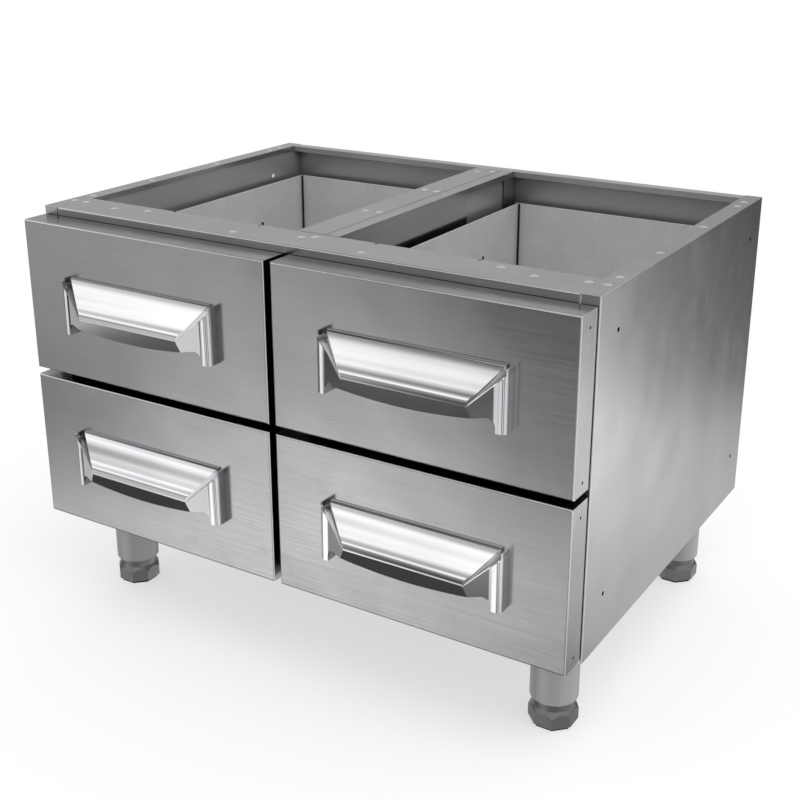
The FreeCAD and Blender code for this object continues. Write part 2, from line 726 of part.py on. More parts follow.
def finger_gap():
    """Corners and bows of the finger gap as seen from the front."""
    end = "belly_height + belly_rise"
    left = [("post_width", "-gauge"), ("post_width", f"{end} - gap_round"), ("post_width + gap_round", end)]
    span = "(handle_width / 2 - post_width - gap_round)"
    edge = f"(({span} ^ 2 + belly_rise ^ 2) / (2 * belly_rise))"
    return across_handle(left), {1: "-gap_round", 2: edge, 3: "-gap_round"}


def handle_hood(name):
    """Upper part: a sloping roof with mitred ends, hollow behind."""
    body = new_body(name)
    plan = across_handle([("mitre_start", "handle_reach"), ("mitre_start", ROOF_TOP), ("nose_end", "0")])
    plan = outline(body, name + "Plan", "XY_Plane", plan, raised="nose_height")
    pad(body, plan, "handle_height - nose_height")
    above = [
        ("-handle_wall", "nose_height"),
        ("0", "nose_height"),
        CURL_END,
        THROAT_END,
        (f"{ROOF_TOP} - {LEDGE_BEND} * cos(roof_angle)", f"handle_height - {LEDGE_BEND} * sin(roof_angle)"),
        (f"{ROOF_TOP} + {LEDGE_BEND}", "handle_height"),
        (f"{ROOF_TOP} + {LEDGE_BEND}", "handle_height + handle_wall"),
        ("-handle_wall", "handle_height + handle_wall"),
    ]
    bends = {1: "-nose_curl", 2: "throat_radius", 4: "-ledge_radius"}
    roof = outline(body, name + "Roof", "YZ_Plane", above, bows=bends, raised="-gauge")
    pocket(body, roof, "handle_width + 2 * gauge", back=True)
    roof_back, roof_down = "handle_wall * sin(roof_angle)", "handle_wall * cos(roof_angle)"
    curl_back, curl_down = "handle_wall * cos(curl_turn)", "handle_wall * sin(curl_turn)"
    room = [
        ("handle_reach", "handle_height - 2 * handle_wall"),
        (f"{ROOF_TOP} + handle_wall * (1 - 2 / tan(roof_angle))", "handle_height - 2 * handle_wall"),
        (f"{THROAT_END[0]} + {roof_back}", f"{THROAT_END[1]} - {roof_down}"),
        (f"{CURL_END[0]} + {curl_back}", f"{CURL_END[1]} - {curl_down}"),
        ("belly_back + handle_wall", "nose_height"),
        ("handle_reach", "nose_height"),
    ]
    room = outline(body, name + "Room", "YZ_Plane", room, raised="nose_end + handle_wall")
    pocket(body, room, "handle_width - 2 * nose_end - 2 * handle_wall", back=True)
    return body


def handle(row, column):
    """Cup pull, drawn from the left end of its posts, the plane of its nose and the bottom of the posts."""
    name = f"Handle_{row}_{column}"
    whole = doc.addObject("Part::Fuse", name)
    whole.Base = handle_cup(name + "_cup")
    whole.Tool = handle_hood(name + "_hood")
    left = f"{COLUMNS[column]} + {FACE_WIDTH} / 2 - {HANDLE_MIDDLE}"
    front = f"{FRONT} - bumper_gap - front_depth - handle_reach"
    place(whole, left, front, f"{ROWS[row]} + handle_rise")
    return whole


def front_bumpers():
    """Square pads on the frame that the closed drawer fronts rest against."""
    pads = []
    outer, inner = f"({HALF_WIDTH} - side_flange / 2)", "(divider_width / 4)"
    for row in ROWS:
        for up in ("bumper_inset", f"{FACE_HEIGHT} - bumper_inset"):
            for middle in (f"-{outer}", f"-{inner}", inner, outer):
                bumper = doc.addObject("Part::Box", f"Bumper{len(pads)}")
                bind(bumper, Length="bumper_side", Width="bumper_gap", Height="bumper_side")
                low = f"{ROWS[row]} + {up} - bumper_side / 2"
                place(bumper, f"{middle} - bumper_side / 2", f"{FRONT} - bumper_gap", low)
                pads.append(bumper)
    return group("Bumpers", pads)


def build_unit():
    """Make every piece, under the name that a maker would give it."""
    left = keep(side_panel(), "left_side_panel")
    keep(mirrored(left, "RightSide"), "right_side_panel")
    keep(back_panel(), "back_panel")
    keep(bottom_panel(), "bottom_panel")
    left = keep(liner(), "left_liner")
    keep(mirrored(left, "RightLiner"), "right_liner")
    keep(divider_skin("LeftSkin", -1, "-bar_split", "bar_width / 2"), "divider_left_skin")
    keep(divider_skin("RightSkin", 1, "bar_split + bar_seam", "bar_width / 2"), "divider_right_skin")
    keep(top_front_rail(), "top_front_rail")
    keep(front_bumpers(), "front_bumpers")
    for corner in LEG_CENTRES:
        keep(foot(corner), f"{corner}_foot")
        keep(foot_pad(corner), f"{corner}_foot_pad")
    keep(group("LegTubes", [leg_tube(corner) for corner in LEG_CENTRES]), "leg_tubes")
    keep(group("LegInserts", [leg_insert(corner) for corner in LEG_CENTRES]), "leg_inserts")
    keep(group("LegBolts", [leg_bolt(corner) for corner in LEG_CENTRES]), "leg_bolts")
    for row, column in DRAWERS:
        drawer = f"{row}_{column}"
        keep(front_skin(row, column), f"{drawer}_front_skin")
        keep(front_backing(row, column), f"{drawer}_front_backing")
        keep(drawer_box(row, column), f"{drawer}_drawer_box")
        keep(handle(row, column), f"{drawer}_handle")
        for member in RUNNERS:
            keep(runner_pair(row, column, member), f"{drawer}_{member}_runners")


build_unit()
doc.recompute()

os.makedirs("parts", exist_ok=True)
for thing in doc.Objects:
    if {"Invalid", "Error"} & set(thing.State):
        raise RuntimeError(f"{thing.Label} failed: {thing.State}")
for thing in nodes:
    if thing.Shape.isNull() or not thing.Shape.isValid():
        raise RuntimeError(f"{thing.Label} has no sound shape")
    thing.Shape.exportStep(f"parts/{thing.Label}.step")
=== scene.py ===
# %% [markdown]
# An outdoor kitchen drawer unit in stainless steel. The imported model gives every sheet, leg, foot,
# runner and handle at its real size, so this file only adds what the metal looks like, the small
# pressed and punched details, the light and the camera.

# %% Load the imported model
import math

import bmesh
import bpy
from mathutils import Matrix, Vector


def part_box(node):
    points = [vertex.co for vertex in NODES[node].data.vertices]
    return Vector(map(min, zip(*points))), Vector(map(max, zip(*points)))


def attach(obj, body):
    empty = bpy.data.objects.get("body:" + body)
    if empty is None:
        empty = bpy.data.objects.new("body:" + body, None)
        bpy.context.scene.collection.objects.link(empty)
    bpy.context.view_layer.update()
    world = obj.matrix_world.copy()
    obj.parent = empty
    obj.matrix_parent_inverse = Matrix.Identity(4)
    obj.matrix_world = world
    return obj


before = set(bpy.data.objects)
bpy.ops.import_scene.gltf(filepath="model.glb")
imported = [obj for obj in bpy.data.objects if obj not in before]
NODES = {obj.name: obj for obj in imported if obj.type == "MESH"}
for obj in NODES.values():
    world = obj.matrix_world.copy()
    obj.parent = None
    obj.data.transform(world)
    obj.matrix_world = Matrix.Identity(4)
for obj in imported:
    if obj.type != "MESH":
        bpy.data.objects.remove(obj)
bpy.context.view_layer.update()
print("nodes:", len(NODES))

# %% [markdown]
# The camera stands to the right of the unit and above it. It could be placed by eye, but its place,
# turn, lens and small shift come from a fit to the corners of the cabinet and of the drawer fronts,
# so that the model and the picture line up.

# %% Camera
CAMERA_PLACE = Vector((0.8866, -1.4151, 0.9509))
CAMERA_TURN = tuple(math.radians(angle) for angle in (70.38, 0.11, 31.98))
LENS = 57.68
SHIFT = (0.00575, -0.0536)

camera = bpy.data.objects.new("camera", bpy.data.cameras.new("camera"))
camera.location = CAMERA_PLACE
camera.rotation_euler = CAMERA_TURN
camera.data.lens = LENS
camera.data.shift_x, camera.data.shift_y = SHIFT
bpy.context.scene.collection.objects.link(camera)
bpy.context.scene.camera = camera
bpy.context.scene.view_settings.view_transform = "Standard"
print("camera, metres:", [round(side, 3) for side in CAMERA_PLACE], "lens, mm:", LENS)

# %% [markdown]
# Steel has no colour of its own to speak of: it shows the room. So the room comes first. Nodes could
# be placed one by one in the editor, but a small set of helpers keeps the work short and lets it be
# read: one makes a node, sets its values and feeds its inputs.


# %% Node helpers
def node(tree, kind, *feeds, **settings):
    """A new node with its settings. A feed is a value or a node's output, in socket order."""
    made = tree.nodes.new(kind)
    for name, value in settings.items():
        setattr(made, name, value)
    for number, feed in enumerate(feeds):
        if isinstance(feed, bpy.types.NodeSocket):
            tree.links.new(feed, made.inputs[number])
        elif feed is not None:
            made.inputs[number].default_value = feed
    return made


def calc(tree, operation, *feeds):
    """A Math node's result."""
    return node(tree, "ShaderNodeMath", *feeds, operation=operation).outputs[0]


def ease(tree, value, start, end, low=0.0, high=1.0):
    """Goes smoothly from low to high as the value goes from start to end."""
    smooth = {"interpolation_type": "SMOOTHSTEP"}
    return node(tree, "ShaderNodeMapRange", value, start, end, low, high, **smooth).outputs[0]


def ramp(tree, value, stops):
    """A grey curve through (place, brightness) stops."""
    curve = node(tree, "ShaderNodeValToRGB", value)
    steps = curve.color_ramp.elements
    while len(steps) < len(stops):
        steps.new(0.5)
    for step, (place, grey) in zip(steps, sorted(stops)):
        step.position = place
        step.color = (grey, grey, grey, 1)
    return curve.outputs[0]


# %% [markdown]
# The room is drawn as rings of light at different heights, as metal sees a studio: a bright band on
# the wall, and a dark stretch below the ceiling that gives the handles their dark line. Soft panels
# stand round it, so that each face of the unit fades from light to dark. Real lamps could do this,
# but rings and panels in the world give smooth fades without noise. The camera itself sees plain
# white, and matt surfaces see an even grey.

# %% Light by height
# Each stop is degrees above the horizon and brightness.
RINGS = (
    (-90, 0.12), (-50, 0.05), (-36, 0.04), (-31, 0.05), (-28.5, 0.3), (-24, 0.15), (-20, 0.06),
    (-12, 0.05), (0, 0.08), (8, 0.2), (16, 0.28), (20, 0.5), (23, 0.9), (26, 1.15), (29, 1.1),
    (32, 0.9), (36, 0.65), (42, 0.4), (46, 0.28), (51, 0.06), (59, 0.06), (67, 0.8), (90, 0.85),
)
FAR_FRONT = (
    (-30.5, 0.0), (-29, 1.1), (-25.5, 1.0), (-23, 0.25), (-20.5, 0.2), (-18, 0.4), (-16.5, 0.65),
    (-13, 0.65), (-10, 0.4), (0, 0.5), (8, 0.3), (14, 0.05), (20, 0.0),
)
MID_FRONT = (
    (-32, 0.0), (-30, 0.5), (-26, 0.35), (-23.5, 0.7), (-19.5, 0.5), (-17, 0.1), (-14, 0.0),
    (-11, 0.0),
)
LOW_FRONT = ((-36, 0.0), (-34.5, 1.15), (-30.5, 1.15), (-28, 0.4), (-26, 0.1), (-25, 0.0))
RIGHT_FRONT = ((-40, 0.0), (-33, 0.4), (-20, 0.7), (-10, 0.4), (0, 0.0))
SIDE = (
    (-34, 0.0), (-32.5, 0.5), (-30.5, 0.5), (-28, 0.18), (-25, 0.4), (-22, 0.4), (-20, 0.08),
    (-17, 0.02), (-13, 0.0), (-6, 0.0), (4, 0.0),
)
SIDE_STRIP = (
    (-35, 0.0), (-33, 0.1), (-28, 0.4), (-24, 1.15), (-20, 1.15), (-16, 0.9), (-12, 0.8), (-6, 0.3),
    (0, 0.0),
)
NEAR_FRONT = ((-36, 0.0), (-32, 0.45), (-20, 0.6), (-6, 0.5), (4, 0.4), (12, 0.1), (18, 0.0))
WALL = ((-38, 0.0), (-34, 0.5), (-20, 0.6), (-10, 0.5), (0, 0.35), (8, 0.15), (14, 0.0))
BEHIND = ((-10, 0.0), (-4, 0.1), (6, 0.2), (12, 0.16), (20, 0.1), (24, 0.0))
print("rings of light:", len(RINGS))

# %% [markdown]
# In a real studio, soft boxes and white walls stand around the object. Here each is a panel: it has
# a direction and a curve of light, it reaches some degrees to each side, and fewer of those are at
# full brightness. Lamps with an area could do it too, but each would need its own place and size.
# Edges that fade make a flat sheet look like satin metal and not like a mirror.

# %% Panels
# Each panel: degrees round from the front, positive to the right, how many degrees it reaches to
# each side, how many of those are at full brightness, and its stops.
PANELS = (
    (-46, 18, 8, FAR_FRONT),
    (-34, 13, 5, MID_FRONT),
    (-25, 16, 8, LOW_FRONT),
    (-5, 13, 8, NEAR_FRONT),
    (28, 10, 4, RIGHT_FRONT),
    (74, 32, 22, WALL),
    (120, 22, 14, WALL),
    (150, 30, 14, SIDE),
    (149, 10, 7, SIDE_STRIP),
    (-132, 50, 36, WALL),
    (-130, 40, 4, BEHIND),
)
print("panels:", len(PANELS))

# %% [markdown]
# The curves become colour ramps over the height of a direction. A ramp can't hold more than 1, so
# all of them are divided by the brightest value, and the sum is multiplied by it again. Matt
# surfaces get one even light instead, because they would show no stripes anyway.

# %% Studio
BRIGHTEST = 1.15
EVEN_LIGHT = 0.9  # what matt surfaces see

world = bpy.data.worlds.new("studio")
bpy.context.scene.world = world
world.use_nodes = True
world.cycles.sampling_method = "NONE"
room = world.node_tree
room.nodes.clear()
look = node(room, "ShaderNodeTexCoord").outputs["Generated"]
parts = node(room, "ShaderNodeSeparateXYZ", look)
height = calc(room, "MULTIPLY_ADD", parts.outputs["Z"], 0.5, 0.5)
level = node(room, "ShaderNodeCombineXYZ", parts.outputs["X"], parts.outputs["Y"], 0.0)
level = node(room, "ShaderNodeVectorMath", level.outputs[0], operation="NORMALIZE").outputs[0]


def at_height(stops):
    """Stops in degrees above the horizon, as a curve over the room's height."""
    heights = [(math.sin(math.radians(angle)) + 1) / 2 for angle, _ in stops]
    return ramp(room, height, [(up, light / BRIGHTEST) for up, (_, light) in zip(heights, stops)])


seen_in_metal = at_height(RINGS)
for degrees, reach, middle, stops in PANELS:
    turn = math.radians(degrees)
    toward = (math.sin(turn), -math.cos(turn), 0)
    facing = node(room, "ShaderNodeVectorMath", level, toward, operation="DOT_PRODUCT")
    ends = [math.cos(math.radians(aside)) for aside in (reach, middle)]
    beside = ease(room, facing.outputs["Value"], *ends)
    seen_in_metal = calc(room, "MULTIPLY_ADD", at_height(stops), beside, seen_in_metal)
seen_in_metal = calc(room, "MULTIPLY", seen_in_metal, BRIGHTEST)

rays = node(room, "ShaderNodeLightPath").outputs
clear = calc(room, "MAXIMUM", rays["Is Camera Ray"], rays["Is Transmission Ray"])
even_or_metal = node(room, "ShaderNodeMix", rays["Is Glossy Ray"], data_type="FLOAT")
even_or_metal.inputs["A"].default_value = EVEN_LIGHT
room.links.new(seen_in_metal, even_or_metal.inputs["B"])
strength = node(room, "ShaderNodeMix", clear, data_type="FLOAT")
room.links.new(even_or_metal.outputs[0], strength.inputs["A"])
strength.inputs["B"].default_value = 1.0
background = node(room, "ShaderNodeBackground", (1, 1, 1, 1), strength.outputs[0])
room.links.new(background.outputs[0], node(room, "ShaderNodeOutputWorld").inputs["Surface"])
print("nodes in the studio:", len(room.nodes))

# %% [markdown]
# The floor is pale and plain. Near the unit it is shaded as usual, so that the soft shadow under
# the cabinet stays, and further out the camera sees it fade to white. Mirror rays pass it by. One
# wide lamp above gives that shadow: the larger a lamp, the softer the shadow's edge.

# %% Floor and lamp
FLOOR_HALF = 6.0
FADE = (0.35, 0.95)  # metres from the middle of the unit
LEAST_WHITE = 0.6  # how white the camera sees the floor before it fades
PAPER = 0.93
LAMP_PLACE, LAMP_AIM = Vector((1.4, -0.8, 2.8)), Vector((0, 0, 0.3))
LAMP_WIDTH, LAMP_WATTS = 2.4, 40

mesh = bpy.data.meshes.new("floor")
corners = [(x * FLOOR_HALF, y * FLOOR_HALF, 0) for x, y in ((-1, -1), (1, -1), (1, 1), (-1, 1))]
mesh.from_pydata(corners, [], [(0, 1, 2, 3)])
floor = bpy.data.objects.new("floor", mesh)
bpy.context.scene.collection.objects.link(floor)
floor.visible_glossy = False

paper = bpy.data.materials.new("pale_floor")
paper.use_nodes = True
tree = paper.node_tree
shader = tree.nodes["Principled BSDF"]
shader.inputs["Base Color"].default_value = (PAPER, PAPER, PAPER, 1)
shader.inputs["Roughness"].default_value = 0.9
shader.inputs["Specular IOR Level"].default_value = 0.1
place = node(tree, "ShaderNodeTexCoord").outputs["Object"]
away = node(tree, "ShaderNodeVectorMath", place, operation="LENGTH").outputs["Value"]
white = node(tree, "ShaderNodeEmission", (1, 1, 1, 1), 1.0)
whiter = ease(tree, away, *FADE, LEAST_WHITE, 1.0)
seen = node(tree, "ShaderNodeLightPath").outputs["Is Camera Ray"]
fade = calc(tree, "MULTIPLY", whiter, seen)
mixed = node(tree, "ShaderNodeMixShader", fade, shader.outputs[0], white.outputs[0])
tree.links.new(mixed.outputs[0], tree.nodes["Material Output"].inputs["Surface"])
floor.data.materials.append(paper)

lamp = bpy.data.objects.new("soft_lamp", bpy.data.lights.new("soft_lamp", "AREA"))
lamp.data.shape = "DISK"
lamp.data.size = LAMP_WIDTH
lamp.data.energy = LAMP_WATTS
lamp.location = LAMP_PLACE
lamp.rotation_euler = (LAMP_AIM - lamp.location).to_track_quat("-Z", "Y").to_euler()
lamp.visible_glossy = False
bpy.context.scene.collection.objects.link(lamp)
print("floor, metres across:", 2 * FLOOR_HALF, "lamp, watts:", LAMP_WATTS)

# %% [markdown]
# Sheet steel is never a flat grey. The grinding belt leaves fine parallel strokes, hands leave
# faint clouds, edges are burnished a little brighter and also get a painted highlight, and dust
# settles on what faces up. Each of these is a node group, so every material can take it in its own
# amount.


# %% Helpers for node groups
def new_group(name, inputs, outputs):
    """An empty shader node group with its named sockets, and its input and output nodes."""
    group = bpy.data.node_groups.new(name, "ShaderNodeTree")
    for label, kind, value in inputs:
        group.interface.new_socket(label, in_out="INPUT", socket_type=kind).default_value = value
    for label, kind in outputs:
        group.interface.new_socket(label, in_out="OUTPUT", socket_type=kind)
    return group, node(group, "NodeGroupInput").outputs, node(group, "NodeGroupOutput").inputs


NUMBER, VECTOR = "NodeSocketFloat", "NodeSocketVector"


def spots(tree, vector, scale, detail=2.0, roughness=0.5, twist=0.0):
    """Soft random cloud, from 0 to 1."""
    cloud = node(tree, "ShaderNodeTexNoise", normalize=True)
    tree.links.new(vector, cloud.inputs["Vector"])
    values = {"Scale": scale, "Detail": detail, "Roughness": roughness, "Distortion": twist}
    for name, value in values.items():
        cloud.inputs[name].default_value = value
    return cloud.outputs["Fac"]


# %% [markdown]
# The strokes of the belt and the clouds of polish are both random, but one is stretched long and the
# other is round. So both come from the same noise, read at stretched or at even places.

# %% Grain and clouds
# Grain: long strokes. Strokes says how often they change along each axis, per metre.
GRAIN, given, result = new_group(
    "grain", [("Strokes", VECTOR, (4, 500, 500))], [("Grain", NUMBER), ("Fine", NUMBER)]
)
where = node(GRAIN, "ShaderNodeTexCoord").outputs["Object"]
stretched = node(GRAIN, "ShaderNodeVectorMath", where, given["Strokes"], operation="MULTIPLY")
stretched = stretched.outputs[0]
GRAIN.links.new(ease(GRAIN, spots(GRAIN, stretched, 0.35, 3, 0.6), 0.25, 0.75), result["Grain"])
GRAIN.links.new(ease(GRAIN, spots(GRAIN, stretched, 1.0, 4, 0.7), 0.25, 0.75), result["Fine"])

# Clouds: uneven polish and faint hand marks, at two sizes.
CLOUDS, given, result = new_group(
    "clouds", [("Size", NUMBER, 0.12)], [("Broad", NUMBER), ("Marks", NUMBER)]
)
where = node(CLOUDS, "ShaderNodeTexCoord").outputs["Object"]
scaled = node(CLOUDS, "ShaderNodeVectorMath", where, operation="SCALE")
CLOUDS.links.new(calc(CLOUDS, "DIVIDE", 1.0, given["Size"]), scaled.inputs["Scale"])
CLOUDS.links.new(ease(CLOUDS, spots(CLOUDS, scaled.outputs[0], 1.0, 1), 0.3, 0.7), result["Broad"])
marks = spots(CLOUDS, scaled.outputs[0], 5.0, 5, 0.6, 0.4)
CLOUDS.links.new(ease(CLOUDS, marks, 0.5, 0.75), result["Marks"])
print("groups so far:", [group.name for group in bpy.data.node_groups])

# %% [markdown]
# On real sheet, edges are worn bright, folds catch a line of light and corners stay dark. Here all
# three are painted into the colour: the edges are lighter partly as wear and partly as a painted
# highlight, the folds get a painted highlight line and the corners get painted shade. All three
# depend on the shape of the metal. Their places could be painted on a texture, but here their
# groups compare normals or ask how much of its surroundings a point can see, so they follow the
# model by themselves.

# %% Edges, fold highlights and crevice shade
# Edges: where the surface turns sharply, found by comparing its normal with a rounded one.
EDGES, given, result = new_group("edges", [("Width", NUMBER, 0.0012)], [("Edge", NUMBER)])
soft = node(EDGES, "ShaderNodeBevel", given["Width"], samples=4).outputs[0]
flat = node(EDGES, "ShaderNodeNewGeometry").outputs["Normal"]
alike = node(EDGES, "ShaderNodeVectorMath", soft, flat, operation="DOT_PRODUCT").outputs["Value"]
EDGES.links.new(ease(EDGES, alike, 0.995, 0.85), result["Edge"])

# Fold highlights: the sheets lie square to the main directions, so a normal between them is a
# fold, where the steels paint a highlight line.
FOLD_HIGHLIGHTS, given, result = new_group("folds", [("Sharpness", NUMBER, 0.985)], [("Fold", NUMBER)])
normal = node(FOLD_HIGHLIGHTS, "ShaderNodeNewGeometry").outputs["Normal"]
bent = node(FOLD_HIGHLIGHTS, "ShaderNodeVectorMath", normal, operation="ABSOLUTE")
bent = node(FOLD_HIGHLIGHTS, "ShaderNodeSeparateXYZ", bent.outputs[0]).outputs
squarest = calc(FOLD_HIGHLIGHTS, "MAXIMUM", calc(FOLD_HIGHLIGHTS, "MAXIMUM", bent["X"], bent["Y"]), bent["Z"])
FOLD_HIGHLIGHTS.links.new(ease(FOLD_HIGHLIGHTS, squarest, given["Sharpness"], 0.9), result["Fold"])

# Crevice shade: how open the place is, from 0 deep in a corner to 1 in the open. The steels
# paint shade where it is low.
CREVICE_SHADE, given, result = new_group("crevices", [("Reach", NUMBER, 0.03)], [("Open", NUMBER)])
hidden = node(CREVICE_SHADE, "ShaderNodeAmbientOcclusion", samples=6)
CREVICE_SHADE.links.new(given["Reach"], hidden.inputs["Distance"])
CREVICE_SHADE.links.new(ease(CREVICE_SHADE, hidden.outputs["AO"], 0.05, 0.75), result["Open"])
print("groups so far:", [group.name for group in bpy.data.node_groups])

# %% [markdown]
# Dust falls from above, so it lies on what faces up and nowhere else. It comes last, because it
# covers grain and edges alike.

# %% Dust
DUST, given, result = new_group("dust", [("Size", NUMBER, 0.02)], [("Dust", NUMBER)])
where = node(DUST, "ShaderNodeTexCoord").outputs["Object"]
scaled = node(DUST, "ShaderNodeVectorMath", where, operation="SCALE")
DUST.links.new(calc(DUST, "DIVIDE", 1.0, given["Size"]), scaled.inputs["Scale"])
normal = node(DUST, "ShaderNodeNewGeometry").outputs["Normal"]
upward = ease(DUST, node(DUST, "ShaderNodeSeparateXYZ", normal).outputs["Z"], 0.7, 1.0)
settled = calc(DUST, "MULTIPLY", upward, spots(DUST, scaled.outputs[0], 1.0, 6, 0.75))
DUST.links.new(settled, result["Dust"])
print("node groups:", [group.name for group in bpy.data.node_groups])

# %% [markdown]
# A material puts the groups together. These helpers place a group, lay colours over one another,
# and read where on a piece a point lies or which way it faces.


# %% Helpers for materials
def placed(tree, group, **values):
    """A node group in a material with its own values, and its outputs."""
    made = node(tree, "ShaderNodeGroup", node_tree=group)
    for label, value in values.items():
        made.inputs[label].default_value = value
    return made.outputs


def blended(tree, amount, first, second):
    """Colour that goes from first to second."""
    mix = node(tree, "ShaderNodeMix", data_type="RGBA")
    for name, value in (("Factor", amount), ("A", first), ("B", second)):
        kind = "VALUE" if name == "Factor" else "RGBA"
        socket = next(s for s in mix.inputs if s.name == name and s.type == kind)
        if isinstance(value, bpy.types.NodeSocket):
            tree.links.new(value, socket)
        else:
            socket.default_value = value
    return next(s for s in mix.outputs if s.type == "RGBA")


def layered(tree, colour, layers):
    """A colour with others laid over it, each by a mask and an amount."""
    for mask, amount, over in layers:
        colour = blended(tree, calc(tree, "MULTIPLY", mask, amount), colour, over)
    return colour


def grey(level, tint=(1, 1, 1)):
    """A grey as a colour, tinted if wanted."""
    return (level * tint[0], level * tint[1], level * tint[2], 1)


def along(tree, axis):
    """How far across the piece a point is, from 0 to 1."""
    across = node(tree, "ShaderNodeTexCoord").outputs["Generated"]
    return node(tree, "ShaderNodeSeparateXYZ", across).outputs[axis]


def turned_to(tree, axis):
    """How far the surface faces along an axis, from -1 to 1."""
    normal = node(tree, "ShaderNodeNewGeometry").outputs["Normal"]
    return node(tree, "ShaderNodeSeparateXYZ", normal).outputs[axis]


# %% [markdown]
# Brushing is more than a colour: each stroke is a groove of about a hundredth of a millimetre. And
# thin sheet is never quite even, which bends what it mirrors. Displacing real faces for that would
# take millions of them, so Bump nodes bend the normals instead, the strokes over the slow reliefs.

# %% Relief
GRAIN_DEPTH = 0.00004


def lifted(tree, strokes, lift, reliefs):
    """A normal that the strokes bend a little, over slow reliefs that each have their own depth."""
    fine = node(tree, "ShaderNodeBump")
    fine.inputs["Strength"].default_value = lift
    fine.inputs["Distance"].default_value = GRAIN_DEPTH
    tree.links.new(strokes, fine.inputs["Height"])
    below = fine
    for relief, depth in reliefs:
        slow = node(tree, "ShaderNodeBump")
        slow.inputs["Strength"].default_value = 1.0
        slow.inputs["Distance"].default_value = depth
        tree.links.new(relief, slow.inputs["Height"])
        tree.links.new(slow.outputs[0], below.inputs["Normal"])
        below = slow
    return fine.outputs[0]


# %% [markdown]
# One recipe makes all the steels. It starts from a base grey and roughness and lays grain, edges
# that are lighter partly as wear and partly as a painted highlight, and dust over it, and where a
# sheet needs them a painted highlight line on its folds and painted shade in its corners.
# Materials made one by one would drift apart as they are changed, so one function makes them all.

# %% Steel recipe
COOL, WARM = (0.99, 0.99, 1.02), (1.01, 1.0, 0.985)
# How bright each layer is beside the base grey.
CLOUDED, STREAKED, WORN_AND_HIGHLIT, DUSTY, CORNER_SHADE = 0.94, 0.72, 1.7, 0.8, 0.12


def steel(
    name, base, roughness, strokes, brush=0.1, lift=0.25, wave=0.0, edge=0.6, dust=0.15,
    cloud=0.12, metal=1.0, fold_highlight=0.0, crevice_shade=0.0, frosted=0.0, shape=None,
):
    """A steel finish.

    brush is how much the grain shows, lift its relief and wave how far the sheet bends.
    fold_highlight is how much painted highlight lies along its folds and crevice_shade how much
    painted shade lies in its corners. shape is a function that gives slow reliefs for the whole
    piece, each with its depth. frosted is how much of the mirror is lost where the two ends of
    the piece face straight forward.
    """
    material = bpy.data.materials.new(name)
    material.use_nodes = True
    tree = material.node_tree
    shader = tree.nodes["Principled BSDF"]
    shader.inputs["Metallic"].default_value = metal
    if frosted:
        forward = ease(tree, turned_to(tree, "Y"), -0.985, -0.9995)
        beside = calc(tree, "ABSOLUTE", calc(tree, "MULTIPLY_ADD", along(tree, "X"), 2.0, -1.0))
        dull = calc(tree, "MULTIPLY", forward, ease(tree, beside, 0.72, 0.82))
        tree.links.new(calc(tree, "MULTIPLY_ADD", dull, -frosted, metal), shader.inputs["Metallic"])
    grain = placed(tree, GRAIN, Strokes=strokes)
    clouds = placed(tree, CLOUDS, Size=cloud)
    settled = placed(tree, DUST)
    layers = [
        (grain["Grain"], brush, grey(base * STREAKED)),
        # edges: lighter, partly as wear and partly as a painted highlight
        (placed(tree, EDGES)["Edge"], edge, grey(min(1, base * WORN_AND_HIGHLIT))),
        (settled["Dust"], dust, grey(base * DUSTY, WARM)),
    ]
    # a painted highlight line along the folds
    if fold_highlight:
        layers.append((placed(tree, FOLD_HIGHLIGHTS)["Fold"], fold_highlight, grey(1.0)))
    # painted shade in corners and crevices, darker where the place is less open
    if crevice_shade:
        corner_shade_mask = calc(tree, "SUBTRACT", 1.0, placed(tree, CREVICE_SHADE)["Open"])
        layers.append((corner_shade_mask, crevice_shade, grey(base * CORNER_SHADE)))
    colour = blended(tree, clouds["Broad"], grey(base * CLOUDED, COOL), grey(base, WARM))
    tree.links.new(layered(tree, colour, layers), shader.inputs["Base Color"])
    spread, least = roughness * brush * 2, roughness * (1 - brush)
    rough = calc(tree, "MULTIPLY_ADD", grain["Fine"], spread, least)
    rough = calc(tree, "MULTIPLY_ADD", clouds["Marks"], roughness * 0.12, rough)
    rough = calc(tree, "MULTIPLY_ADD", settled["Dust"], dust * 0.5, rough)
    tree.links.new(rough, shader.inputs["Roughness"])
    reliefs = [(clouds["Broad"], wave)] if wave else []
    reliefs += shape(tree) if shape else []
    tree.links.new(lifted(tree, grain["Fine"], lift, reliefs), shader.inputs["Normal"])
    return material


# %% [markdown]
# A thin drawer front is never quite flat, and a casting that was polished by hand has soft furrows.
# Neither is a shape that the model needs, but both bend what the metal mirrors. So they are made
# here as slow reliefs in the material, from how far across the piece a point lies.

# %% Slow shapes
BELLY_DEPTH, ROLL_DEPTH, FURROW_DEPTH = 0.0024, 0.0009, 0.0008


def bowed(tree):
    """A thin drawer front bellies out a little between its ends."""
    side = calc(tree, "MULTIPLY_ADD", along(tree, "X"), 2.0, -1.0)
    return [(calc(tree, "SUBTRACT", 1.0, calc(tree, "MULTIPLY", side, side)), BELLY_DEPTH)]


def cast(tree):
    """A polished casting: its roof rolls over near the top, and the mop leaves long furrows."""
    top = ease(tree, along(tree, "Z"), 0.85, 1.02)
    where = node(tree, "ShaderNodeTexCoord").outputs["Object"]
    stretched = node(tree, "ShaderNodeVectorMath", where, (0.8, 60, 60), operation="MULTIPLY")
    upward = ease(tree, turned_to(tree, "Z"), 0.2, 0.5)
    furrows = calc(tree, "MULTIPLY", spots(tree, stretched.outputs[0], 1.0, 0.6), upward)
    roll = calc(tree, "SUBTRACT", 1.0, calc(tree, "MULTIPLY", top, top))
    return [(roll, ROLL_DEPTH), (furrows, FURROW_DEPTH)]
